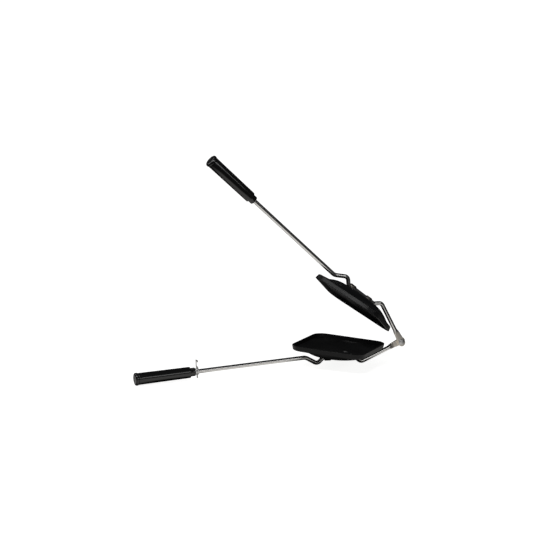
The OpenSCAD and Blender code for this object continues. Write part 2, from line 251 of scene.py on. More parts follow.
def start_ring(
    points: int, radius: float, place: Sequence[float], turn: Sequence[float] = (0, 0, 0),
) -> bpy.types.Object:
    """Draws a circle that a piece is extruded from, selected in edit mode.

    Args:
        points: points round it.
        radius: its radius, in millimetres.
        place: its middle, in millimetres.
        turn: its rotation, in radians.

    Returns:
        The new object.
    """
    clear_selection()
    bpy.ops.mesh.primitive_circle_add(
        vertices=points, radius=radius * MM, fill_type="NOTHING", location=Vector(place) * MM, rotation=turn,
    )
    piece = bpy.context.object
    bpy.ops.object.transform_apply(location=True, rotation=True)
    bpy.ops.object.mode_set(mode="EDIT")
    bpy.ops.mesh.select_mode(type="EDGE")
    bpy.ops.mesh.select_all(action="SELECT")
    return piece


def next_ring(
    step: Sequence[float], scale: Sequence[float] | None = None, pivot: Sequence[float] = (0, 0, 0),
) -> None:
    """Extrudes the selected edges, and scales the new ones where that is asked for.

    Args:
        step: how far they go, in millimetres.
        scale: their new size over their old one along each axis.
        pivot: the point that they are scaled about, in millimetres.
    """
    bpy.ops.mesh.extrude_edges_move(TRANSFORM_OT_translate={"value": Vector(step) * MM})
    if scale:
        bpy.ops.transform.resize(value=scale, center_override=Vector(pivot) * MM)


def turned(
    profile: Sequence[tuple[float, float]], points: int = 48, bored: bool = False,
) -> bpy.types.Object:
    """Models a turned piece along +Z, ring by ring.

    Args:
        profile: height and radius of each ring, in millimetres.
        points: points round each ring.
        bored: whether the last ring meets the first, round a bore; both ends are closed otherwise.

    Returns:
        The new object, active and in object mode.
    """
    first_height, first_radius = profile[0]
    piece = start_ring(points, first_radius, (0, 0, first_height))
    for (height, radius), (new_height, new_radius) in zip(profile, profile[1:]):
        share = new_radius / radius
        next_ring((0, 0, new_height - height), (share, share, 1))
    if bored:
        bpy.ops.mesh.select_all(action="SELECT")
        bpy.ops.mesh.remove_doubles(threshold=SAME)
    else:
        bpy.ops.mesh.edge_face_add()
        pick_edges(piece, lambda *ends: all(
            same(end.z, first_height * MM) and same(end.xy.length, first_radius * MM) for end in ends
        ))
        bpy.ops.mesh.edge_face_add()
    bpy.ops.object.mode_set(mode="OBJECT")
    return piece


def rounded(
    height: float, radius: float, edge: tuple[float, float], start_deg: int, end_deg: int,
) -> list[tuple[float, float]]:
    """Points of a rounded edge of a turned piece.

    Args:
        height: height of the arc's centre.
        radius: radius of the arc's centre.
        edge: the arc's half axes along and across the piece.
        start_deg: angle it starts at, 0 outwards and 90 upwards.
        end_deg: angle it ends at.

    Returns:
        Height and radius of each point.
    """
    steps = 5
    angles = [math.radians(start_deg + (end_deg - start_deg) * k / steps) for k in range(steps + 1)]
    return [(height + edge[0] * math.sin(a), radius + edge[1] * math.cos(a)) for a in angles]


def dome(base: float, radius: float, height: float) -> list[tuple[float, float]]:
    """Points of a domed head from its rim to its top.

    Args:
        base: height of the rim.
        radius: radius of the rim.
        height: how far the top stands over the rim, below it where negative.

    Returns:
        Height and radius of each point.
    """
    steps = 7
    ball = (radius ** 2 + height ** 2) / (2 * abs(height))
    span = math.asin(min(1.0, radius / ball))
    sign = math.copysign(1.0, height)
    angles = [span * (1 - k / steps) for k in range(steps)]
    return [(base + height - sign * ball * (1 - math.cos(a)), ball * math.sin(a)) for a in angles]


def drill(
    piece: bpy.types.Object, places: Iterable[tuple[float, float]], width: float, depth: float,
    points: int = 32, turn_deg: float = 0.0,
) -> None:
    """Drills a piece right through, along Z where the drill isn't turned.

    Args:
        piece: the object, at the origin.
        places: X and Y of each hole.
        width: diameter of the holes.
        depth: length of the drill to each side of the middle plane.
        points: points round each hole.
        turn_deg: how far the drill is turned round X.
    """
    clear_selection()
    drills = []
    for x, y in places:
        bpy.ops.mesh.primitive_cylinder_add(
            vertices=points, radius=width / 2 * MM, depth=2 * depth * MM, location=(x * MM, y * MM, 0),
            rotation=(math.radians(turn_deg), 0, 0),
        )
        drills.append(bpy.context.object)
    for tool in drills:
        tool.select_set(True)
    if len(drills) > 1:
        bpy.ops.object.join()
    cutter = bpy.context.object
    bpy.ops.object.transform_apply(location=True, rotation=True)
    take_up(piece)
    apply_modifier(piece, "BOOLEAN", operation="DIFFERENCE", object=cutter, solver="EXACT")
    bpy.data.objects.remove(cutter)


# Shader nodes
def feed(tree: bpy.types.NodeTree, socket: bpy.types.NodeSocket, value: object) -> None:
    """Gives an input its value.

    Args:
        tree: the node tree.
        socket: the input.
        value: a value, or the output that is linked to it.
    """
    if isinstance(value, bpy.types.NodeSocket):
        tree.links.new(value, socket)
    else:
        socket.default_value = value


def set_up(
    tree: bpy.types.NodeTree, node: bpy.types.Node, *feeds: object, **values: object,
) -> bpy.types.Node:
    """Sets a node's properties and inputs.

    Args:
        tree: the node tree.
        node: the node.
        feeds: values or outputs for its first inputs, in their order.
        values: its properties by their names, and other inputs by theirs with _ for a space.

    Returns:
        The node.
    """
    for key, value in values.items():
        name = key.replace("_", " ")
        if name in node.inputs:
            feed(tree, node.inputs[name], value)
        else:
            setattr(node, key, value)
    for socket, value in zip(node.inputs, feeds):
        feed(tree, socket, value)
    return node


def add_node(tree: bpy.types.NodeTree, kind: str, *feeds: object, **values: object) -> bpy.types.Node:
    """Adds a node to a tree.

    Args:
        tree: the node tree.
        kind: the node's type, without its ShaderNode prefix.
        feeds: as for set_up.
        values: as for set_up.

    Returns:
        The new node.
    """
    return set_up(tree, tree.nodes.new(f"ShaderNode{kind}"), *feeds, **values)


def blended(
    tree: bpy.types.NodeTree, kind: str, mask: bpy.types.NodeSocket, under: bpy.types.NodeSocket,
    over: object,
) -> bpy.types.NodeSocket:
    """Lays one colour or number over another through a mask.

    Args:
        tree: the material's tree.
        kind: "RGBA" or "FLOAT".
        mask: 0 shows what is under, 1 what is over.
        under: the output below.
        over: the value above.

    Returns:
        The output that gives the mixture.
    """
    return add_node(tree, "Mix", data_type=kind, Factor=mask, A=under, B=over).outputs["Result"]


# Shared effects
class EffectGroup:
    """One shader node group with named inputs and outputs, which reads Object coordinates."""

    def __init__(self, name: str, inputs: dict[str, float], outputs: Sequence[str]) -> None:
        """Starts the group.

        Args:
            name: the group's name.
            inputs: its inputs, with their usual values.
            outputs: the names of its outputs.
        """
        self.tree = bpy.data.node_groups.new(name, "ShaderNodeTree")
        for key, value in inputs.items():
            socket = self.tree.interface.new_socket(key, in_out="INPUT", socket_type="NodeSocketFloat")
            socket.default_value = value
        for key in outputs:
            self.tree.interface.new_socket(key, in_out="OUTPUT", socket_type="NodeSocketFloat")
        self.inlet = self.tree.nodes.new("NodeGroupInput")
        self.place = self.node("TexCoord").outputs["Object"]

    def given(self, name: str) -> bpy.types.NodeSocket:
        """The output, inside the group, that gives one of its inputs."""
        return self.inlet.outputs[name]

    def node(self, kind: str, *feeds: object, **values: object) -> bpy.types.Node:
        """Adds a node to the group, as add_node does."""
        return add_node(self.tree, kind, *feeds, **values)

    def put_out(self, **results: bpy.types.NodeSocket) -> "EffectGroup":
        """Links what the group puts out, by its outputs' names, and gives the finished group."""
        set_up(self.tree, self.tree.nodes.new("NodeGroupOutput"), **results)
        return self

    def place_in(self, tree: bpy.types.NodeTree, **values: float) -> bpy.types.Node:
        """Places the effect in a material.

        Args:
            tree: the material's tree.
            values: the group's inputs, with _ for a space.

        Returns:
            The group node.
        """
        node = tree.nodes.new("ShaderNodeGroup")
        node.node_tree = self.tree
        return set_up(tree, node, **values)


def grain_group() -> EffectGroup:
    """Fine isotropic grain: a height for bump, scattered flecks and a slow shade.

    Returns:
        The group.
    """
    group = EffectGroup("fine_grain", {"Scale": 900.0, "Slow Scale": 40.0}, ("Height", "Flecks", "Shade"))
    fine = group.node("TexNoise", Vector=group.place, Scale=group.given("Scale"), Detail=3.0, Roughness=0.6)
    slow = group.node(
        "TexNoise", Vector=group.place, Scale=group.given("Slow Scale"), Detail=2.0, Roughness=0.5,
    )
    flecks = group.node("MapRange", Value=fine.outputs["Fac"], From_Min=0.66, From_Max=0.74)
    return group.put_out(
        Height=fine.outputs["Fac"], Flecks=flecks.outputs["Result"], Shade=slow.outputs["Fac"],
    )


def hairline_group() -> EffectGroup:
    """Fine rubbed lines round and along a piece: a mask of the deeper ones.

    Returns:
        The group.
    """
    group = EffectGroup("hairlines", {"Scale": 300.0, "Stretch": 12.0}, ("Mask",))
    stretch = group.given("Stretch")
    squeeze = group.node("CombineXYZ", X=1.0, Y=stretch, Z=stretch)
    scaled = group.node("VectorMath", group.place, squeeze.outputs["Vector"], operation="MULTIPLY")
    noise = group.node(
        "TexNoise", Vector=scaled.outputs["Vector"], Scale=group.given("Scale"), Detail=4.0, Roughness=0.7,
    )
    deep = group.node("MapRange", Value=noise.outputs["Fac"], From_Min=0.55, From_Max=0.72)
    return group.put_out(Mask=deep.outputs["Result"])


def edge_group() -> EffectGroup:
    """Rubbed edges: a mask that is high on the outer edges and broken up by a noise.

    Returns:
        The group.
    """
    group = EffectGroup("rubbed_edges", {"Start": 0.52, "End": 0.6, "Scale": 250.0}, ("Mask",))
    shape = group.node("NewGeometry")
    spread = group.node(
        "MapRange", Value=shape.outputs["Pointiness"], From_Min=group.given("Start"),
        From_Max=group.given("End"),
    )
    noise = group.node("TexNoise", Vector=group.place, Scale=group.given("Scale"), Detail=3.0)
    broken = group.node("MapRange", Value=noise.outputs["Fac"], From_Min=0.35, From_Max=0.65)
    both = group.node("Math", spread.outputs["Result"], broken.outputs["Result"], operation="MULTIPLY")
    return group.put_out(Mask=both.outputs["Value"])


def forged_group() -> EffectGroup:
    """Forged metal round a point: a mask that fades out with distance, its border uneven.

    Returns:
        The group.
    """
    group = EffectGroup(
        "forged_patch", {"Centre X": 0.0, "Centre Z": 0.0, "Full To": 0.015, "Gone At": 0.02}, ("Mask",),
    )
    centre = group.node("CombineXYZ", X=group.given("Centre X"), Z=group.given("Centre Z"))
    away = group.node("VectorMath", group.place, centre.outputs["Vector"], operation="DISTANCE")
    noise = group.node("TexNoise", Vector=group.place, Scale=220.0, Detail=2.0)
    uneven = group.node("MapRange", Value=noise.outputs["Fac"], To_Min=-0.002, To_Max=0.002)
    summed = group.node("Math", away.outputs["Value"], uneven.outputs["Result"], operation="ADD")
    fade = group.node(
        "MapRange", interpolation_type="SMOOTHSTEP", Value=summed.outputs["Value"],
        From_Min=group.given("Full To"), From_Max=group.given("Gone At"), To_Min=1.0, To_Max=0.0,
    )
    return group.put_out(Mask=fade.outputs["Result"])


GRAIN = grain_group()
HAIRLINES = hairline_group()
RUBBED = edge_group()
FORGED = forged_group()


# Finishes
@dataclass(frozen=True)
class Patch:
    """A part of a piece that has a colour and gloss of its own.

    It is whole up to the distance full_to from the hinge pin, and has faded out at gone_at.
    """

    colour: tuple[float, float, float]
    roughness: float
    full_to: float
    gone_at: float


@dataclass(frozen=True)
class Finish:
    """A finish: its colour and gloss, and how its grain, lines and edges change them.

    The two values of roughness are those of its glossiest and its dullest places, grain_depth
    is the height of the grain, and the scales are those of the noises.
    """

    name: str
    slot: str
    colour: tuple[float, float, float]
    edge_colour: tuple[float, float, float]
    roughness: tuple[float, float]
    metallic: float = 0.0
    grain_scale: float = 900.0
    slow_scale: float = 40.0
    grain_depth: float = 0.01
    flecks: float = 0.0
    line_scale: float = 300.0
    line_rough: float = 0.0
    shade: float = 0.1
    edge_amount: float = 0.5
    specular: float = 0.5
    patch: Patch | None = None

    def material(self) -> bpy.types.Material:
        """Builds the material once.

        Returns:
            The material of this name.
        """
        made = bpy.data.materials.get(self.name)
        if made:
            return made
        made = bpy.data.materials.new(self.name)
        made.use_nodes = True
        made.diffuse_color = (*self.colour, 1.0)
        tree = made.node_tree
        grain = GRAIN.place_in(tree, Scale=self.grain_scale, Slow_Scale=self.slow_scale)
        colour = self.coloured(tree, grain)
        rough = self.roughened(tree, grain)
        if self.patch:
            forged = FORGED.place_in(
                tree, Centre_X=STANDING.pin.x, Centre_Z=STANDING.pin.z,
                Full_To=self.patch.full_to * MM, Gone_At=self.patch.gone_at * MM,
            )
            mask = forged.outputs["Mask"]
            colour = blended(tree, "RGBA", mask, colour, (*self.patch.colour, 1.0))
            rough = blended(tree, "FLOAT", mask, rough, self.patch.roughness)
        bump = add_node(
            tree, "Bump", Height=grain.outputs["Height"], Strength=1.0, Distance=self.grain_depth * MM,
        )
        set_up(
            tree, tree.nodes["Principled BSDF"], Metallic=self.metallic, Specular_IOR_Level=self.specular,
            Base_Color=colour, Roughness=rough, Normal=bump.outputs["Normal"],
        )
        return made

    def coloured(self, tree: bpy.types.NodeTree, grain: bpy.types.Node) -> bpy.types.NodeSocket:
        """Varies the colour slowly, scatters flecks and lightens the rubbed edges.

        Args:
            tree: the material's tree.
            grain: the grain effect.

        Returns:
            The output that gives the colour.
        """
        tone = add_node(
            tree, "MapRange", Value=grain.outputs["Shade"], To_Min=1.0 - self.shade, To_Max=1.0 + self.shade,
        )
        shaded = add_node(
            tree, "Mix", data_type="RGBA", blend_type="MULTIPLY", Factor=1.0,
            A=(*self.colour, 1.0), B=tone.outputs["Result"],
        )
        edges = RUBBED.place_in(tree)
        worn = add_node(tree, "Math", edges.outputs["Mask"], self.edge_amount, operation="MULTIPLY")
        light = add_node(
            tree, "Math", grain.outputs["Flecks"], self.flecks, worn.outputs["Value"],
            operation="MULTIPLY_ADD", use_clamp=True,
        )
        return blended(
            tree, "RGBA", light.outputs["Value"], shaded.outputs["Result"], (*self.edge_colour, 1.0),
        )

    def roughened(self, tree: bpy.types.NodeTree, grain: bpy.types.Node) -> bpy.types.NodeSocket:
        """Varies the gloss slowly and dulls it along the rubbed lines.

        Args:
            tree: the material's tree.
            grain: the grain effect.

        Returns:
            The output that gives the roughness.
        """
        glossiest, dullest = self.roughness
        rough = add_node(
            tree, "MapRange", Value=grain.outputs["Shade"], From_Min=0.3, From_Max=0.7,
            To_Min=glossiest, To_Max=dullest,
        )
        lines = HAIRLINES.place_in(tree, Scale=self.line_scale)
        scored = add_node(
            tree, "Math", lines.outputs["Mask"], self.line_rough, rough.outputs["Result"],
            operation="MULTIPLY_ADD",
        )
        return scored.outputs["Value"]

    def dress(self, piece: bpy.types.Object) -> None:
        """Gives the finish to a new piece.

        Args:
            piece: the finished mesh.
        """
        piece.data.materials.clear()
        piece.data.materials.append(self.material())


NON_STICK = Finish(
    "non_stick_coat", "nonstick", colour=(0.009, 0.009, 0.0095), edge_colour=(0.03, 0.029, 0.028),
    roughness=(0.36, 0.48), specular=0.24, grain_scale=1500.0, slow_scale=22.0, grain_depth=0.008,
    flecks=0.25, line_rough=0.05, shade=0.25, edge_amount=0.5,
)
CHROME = Finish(
    "chrome_plate", "rod_chrome", colour=(0.86, 0.85, 0.83), edge_colour=(0.8, 0.8, 0.8),
    roughness=(0.06, 0.12), metallic=1.0, grain_scale=500.0, slow_scale=60.0, grain_depth=0.0004,
    line_rough=0.06, shade=0.05, edge_amount=0.0,
    patch=Patch(colour=(0.93, 0.88, 0.8), roughness=0.4, full_to=15.0, gone_at=23.0),
)
PRESSED_STEEL = Finish(
    "pressed_steel", "stamped_steel", colour=(0.24, 0.225, 0.2), edge_colour=(0.42, 0.4, 0.37),
    roughness=(0.28, 0.42), metallic=1.0, grain_scale=1200.0, slow_scale=120.0, grain_depth=0.006,
    line_scale=500.0, line_rough=0.12, shade=0.12, edge_amount=0.8,
)
RIVET_STEEL = Finish(
    "rivet_steel", "rivet_steel", colour=(0.8, 0.775, 0.73), edge_colour=(0.9, 0.89, 0.87),
    roughness=(0.24, 0.38), metallic=1.0, grain_scale=1400.0, slow_scale=200.0, grain_depth=0.006,
    line_scale=700.0, line_rough=0.1, shade=0.12, edge_amount=0.7,
)
ZINC = Finish(
    "zinc_plate", "stamped_steel", colour=(0.8, 0.8, 0.79), edge_colour=(0.9, 0.9, 0.9),
    roughness=(0.26, 0.4), metallic=1.0, grain_scale=1200.0, slow_scale=150.0, grain_depth=0.004,
    line_scale=500.0, line_rough=0.1, shade=0.08, edge_amount=0.6,
)
PLASTIC = Finish(
    "moulded_plastic", "handle_plastic", colour=(0.007, 0.007, 0.0072), edge_colour=(0.03, 0.03, 0.03),
    roughness=(0.12, 0.2), specular=0.8, grain_scale=600.0, slow_scale=18.0, grain_depth=0.003,
    line_rough=0.04, shade=0.15, edge_amount=0.3,
)


# Pans
@dataclass(frozen=True)
class Pan:
    """One domed square pan with its corners on the axes, modelled over its own centre."""

    half: Half
    side: float = 115.0
    corner_r: float = 18.0
    wall_h: float = 7.8
    rim_h: float = 0.7
    draft: float = 1.2
    land_round: float = 2.2
    land_h: float = 10.6
    foot_r: float = 53.0
    dome_h: float = 17.6
    top_r: float = 33.0
    sheet: float = 2.5
    rim_gap: float = 0.4
    reach: float = 103.0
    saddle_x: float = 16.5
    rivet_y: float = 9.4
    rivet_d: float = 3.64
    rim_round: float = 0.55
    arc_steps: int = 10
    side_cuts: int = 11
    wall_shares: tuple[float, ...] = (0.2, 0.55, 0.95)
    round_degs: tuple[float, ...] = (15, 35, 55, 75, 90)
    land_steps: int = 4
    dome_steps: int = 8
    top_shares: tuple[float, ...] = (0.86, 0.5, 0.2)

    @property
    def lean(self) -> float:
        """How far the straight part of the wall leans in."""
        return self.draft * (self.wall_h - self.land_round) / self.wall_h

    @property
    def rivet_places(self) -> list[tuple[float, float]]:
        """X and Y of the four saddle rivets from the pan's centre."""
        return [(sx * self.saddle_x, sy * self.rivet_y) for sx in (-1, 1) for sy in (-1, 1)]

    def over_pan(self, height: float = 0.0) -> Matrix:
        """Placement of what is modelled over the pan's centre.

        Args:
            height: how far over the rim it goes, in millimetres.

        Returns:
            The matrix from that place to the frame.
        """
        place = Vector((-self.reach, 0, self.rim_gap / 2 + height)) * MM
        return STANDING.matrix(self.half) @ Matrix.Translation(place)

    def build(self) -> None:
        """Models the pan, drills it, places it and hands it over."""
        piece = self.rim_outline()
        self.raise_wall()
        self.raise_dome()
        self.thicken(piece)
        drill(piece, self.rivet_places, self.rivet_d, self.dome_h + self.sheet)
        settle(piece, self.over_pan())
        hand_over(piece, NON_STICK, self.half.value, f"{self.half.prefix}_pan")

    def rim_outline(self) -> bpy.types.Object:
        """Draws the rounded square of the rim, its edges selected in edit mode.

        Returns:
            The new object.
        """
        clear_selection()
        bpy.ops.mesh.primitive_plane_add(size=self.side * MM, rotation=(0, 0, math.radians(45)))
        piece = bpy.context.object
        bpy.ops.object.transform_apply(rotation=True)
        bpy.ops.object.mode_set(mode="EDIT")
        bpy.ops.mesh.select_all(action="SELECT")
        bpy.ops.mesh.bevel(offset=self.corner_r * MM, segments=self.arc_steps, affect="VERTICES")
        pick_edges(piece, lambda first, second: (first - second).length > self.corner_r * MM)
        bpy.ops.mesh.subdivide(number_cuts=self.side_cuts)
        bpy.ops.mesh.select_all(action="SELECT")
        bpy.ops.mesh.delete(type="ONLY_FACE")
        bpy.ops.mesh.select_mode(type="EDGE")
        bpy.ops.mesh.select_all(action="SELECT")
        return piece

    @staticmethod
    def raise_rings(rings: Sequence[tuple[float, float, float]]) -> None:
        """Extrudes the selected ring upwards from ring to ring.

        Args:
            rings: reach from the middle, height and roundness of each ring, in millimetres,
                the selected one first; roundness 0 leaves its outline, 1 makes it a circle.
        """
        for (reach, height, _), (new_reach, new_height, roundness) in zip(rings, rings[1:]):
            share = new_reach / reach
            next_ring((0, 0, new_height - height), (share, share, 1))
            if roundness > 0:
                bpy.ops.transform.tosphere(value=roundness)

    def raise_wall(self) -> None:
        """Raises the leaning wall and rounds it over to the land."""
        half, straight = self.side / 2, self.wall_h - self.land_round
        rings = [(half, 0.0, 0.0), (half, self.rim_h, 0.0)]
        rings += [(half - self.lean * u, straight * u, 0.0) for u in self.wall_shares]
        for deg in self.round_degs:
            a = math.radians(deg)
            inwards = self.lean + self.land_round * (1 - math.cos(a))
            rings.append((half - inwards, straight + self.land_round * math.sin(a), 0.0))
        self.raise_rings(rings)

    def raise_dome(self) -> None:
        """Turns the ring into a circle over the land, then raises and closes the dome."""
        inwards = self.lean + self.land_round
        mean = self.mean_radius(self.side / 2 - inwards, self.corner_r - inwards)
        rings = [(mean, self.wall_h, 0.0)]
        for k in range(1, self.land_steps + 1):
            u = k / self.land_steps
            height = self.wall_h + (self.land_h - self.wall_h) * u
            rings.append((mean + (self.foot_r - mean) * u, height, 1 / (self.land_steps - k + 1)))
        for k in range(1, self.dome_steps + 1):
            t = k / self.dome_steps
            height = self.land_h + (self.dome_h - self.land_h) * math.sin(t * math.pi / 2)
            rings.append((self.foot_r + (self.top_r - self.foot_r) * t, height, 0.0))
        rings += [(self.top_r * share, self.dome_h, 0.0) for share in self.top_shares]
        self.raise_rings(rings)
        bpy.ops.mesh.edge_face_add()

    def mean_radius(self, half: float, corner: float) -> float:
        """Mean distance of the ring's points from the middle.

        Args:
            half: half the side of the rounded square.
            corner: its corner radius.

        Returns:
            The mean radius, in the same unit.
        """
        centre = (half - corner) * math.sqrt(2)
        far = []
        for k in range(self.arc_steps + 1):
            a = math.radians(-45 + 90 * k / self.arc_steps)
            far.append(math.hypot(centre + corner * math.cos(a), corner * math.sin(a)))
        for k in range(1, self.side_cuts + 1):
            far.append(math.hypot(half, (half - corner) * (2 * k / (self.side_cuts + 1) - 1)))
        return sum(far) / len(far)

    def thicken(self, piece: bpy.types.Object) -> None:
        """Gives the skin its thickness inwards, rounds the rim and smooths it all.

        Args:
            piece: the skin.
        """
        face_up(piece)
        apply_modifier(piece, "SOLIDIFY", thickness=self.sheet * MM, offset=-1, use_even_offset=True)
        pick_edges(piece, self.along_rim)
        bpy.ops.mesh.bevel(offset=self.rim_round * MM, segments=2, affect="EDGES")
        bpy.ops.object.mode_set(mode="OBJECT")
        apply_modifier(piece, "SUBSURF", levels=1, render_levels=1)

    def along_rim(self, *ends: Vector) -> bool:
        """Says whether an edge runs along the rim, level with it, and not across it.

        Args:
            ends: the edge's two ends, in metres.

        Returns:
            Whether it does.
        """
        level = 0.01 * MM
        inner = self.side / 2 - self.corner_r
        far = []
        for end in ends:
            u, w = (abs(n) / math.sqrt(2) / MM for n in (end.x + end.y, end.y - end.x))
            far.append(math.hypot(max(u - inner, 0.0), max(w - inner, 0.0)) + min(max(u, w) - inner, 0.0))
        return all(abs(end.z) < level for end in ends) and abs(far[0] - far[1]) < self.sheet / 2


# Saddles
@dataclass(frozen=True)
class Saddle:
    """A pressed strip over the rod with two riveted ears, and the rivets that hold it."""

    pan: Pan
    rod_d: float = 6.35
    play: float = 0.05
    width: float = 9.0
    strip: float = 1.2
    foot_round: float = 1.8
    edge: float = 0.25
    edge_deg: float = 50.0
    head_r: float = 3.05
    head_h: float = 1.2
    tail_h: float = 0.7
    shank_d: float = 3.6
    rivet_edge: float = 0.15
    rivet_points: int = 28

    def build(self) -> None:
        """Models both saddles and the four rivets of one half, and hands them over."""
        half, body = self.pan.half, self.pan.half.value
        over_top = self.pan.over_pan(self.pan.dome_h)
        holes = [(0.0, -self.pan.rivet_y), (0.0, self.pan.rivet_y)]
        for name, x in (("front", self.pan.saddle_x), ("rear", -self.pan.saddle_x)):
            piece = self.bend_strip()
            apply_modifier(piece, "SOLIDIFY", thickness=self.strip * MM, offset=1, use_even_offset=True)
            drill(piece, holes, self.pan.rivet_d, 2 * self.strip)
            ease_edges(piece, self.edge, self.edge_deg)
            settle(piece, over_top @ Matrix.Translation((x * MM, 0, 0)))
            hand_over(piece, PRESSED_STEEL, body, f"{half.prefix}_{name}_saddle")
        piece = self.rivets()
        settle(piece, over_top)
        hand_over(piece, RIVET_STEEL, body, f"{half.prefix}_saddle_rivets")

    def stations(self) -> list[tuple[float, float, float]]:
        """Route of the strip's underside from one ear's tip to the top of the arch.

        Returns:
            Y, Z and half width of each station, in millimetres.
        """
        ear, arch = self.width / 2, self.rod_d / 2 + self.play
        tip_degs, foot_degs, arch_degs = (14, 28, 42, 58, 74, 90), (0, 22.5, 45, 67.5, 90), range(0, 91, 15)
        places = []
        for a in map(math.radians, tip_degs):
            places.append((-self.pan.rivet_y - ear * math.cos(a), 0.0, ear * math.sin(a)))
        foot = -arch - self.foot_round
        for a in map(math.radians, foot_degs):
            height = self.foot_round * (1 - math.cos(a))
            places.append((foot + self.foot_round * math.sin(a), height, ear))
        for a in map(math.radians, arch_degs):
            places.append((-arch * math.cos(a), self.rod_d / 2 + arch * math.sin(a), ear))
        return places

    def bend_strip(self) -> bpy.types.Object:
        """Extrudes the strip from one ear's tip over the arch to the other.

        Returns:
            The open strip, active and in object mode.
        """
        one_side = self.stations()
        whole = one_side + [(-y, z, w) for y, z, w in reversed(one_side[:-1])]
        clear_selection()
        bpy.ops.mesh.primitive_plane_add(size=1.0)
        piece = bpy.context.object
        (y0, _, w0), (y1, _, w1) = whole[0], whole[1]
        for v in piece.data.vertices:
            y, w = (y0, w0) if v.co.y < 0 else (y1, w1)
            v.co = Vector((math.copysign(w, v.co.x), y, 0.0)) * MM
        pick_edges(piece, lambda *ends: all(same(end.y, y1 * MM) for end in ends))
        for (y0, z0, w0), (y1, z1, w1) in zip(whole[1:], whole[2:]):
            next_ring((0, y1 - y0, z1 - z0), (w1 / w0, 1, 1))
        face_up(piece)
        return piece

    def rivets(self) -> bpy.types.Object:
        """Models one rivet and copies it to the four places.

        Returns:
            The four rivets as one object, over the pan's top.
        """
        grip = self.pan.sheet
        tail = dome(-grip, self.head_r, -self.tail_h)[::-1]
        shank = [(-grip, self.shank_d / 2), (self.strip, self.shank_d / 2)]
        first = turned(tail + shank + dome(self.strip, self.head_r, self.head_h), self.rivet_points)
        ease_edges(first, self.rivet_edge, DOME_EDGE_DEG)
        pieces = [first]
        for _ in self.pan.rivet_places[1:]:
            bpy.ops.object.duplicate()
            pieces.append(bpy.context.object)
        clear_selection()
        for piece, (x, y) in zip(pieces, self.pan.rivet_places):
            piece.data.transform(Matrix.Translation((x * MM, y * MM, 0)))
            piece.select_set(True)
        bpy.context.view_layer.objects.active = first
        bpy.ops.object.join()
        return first


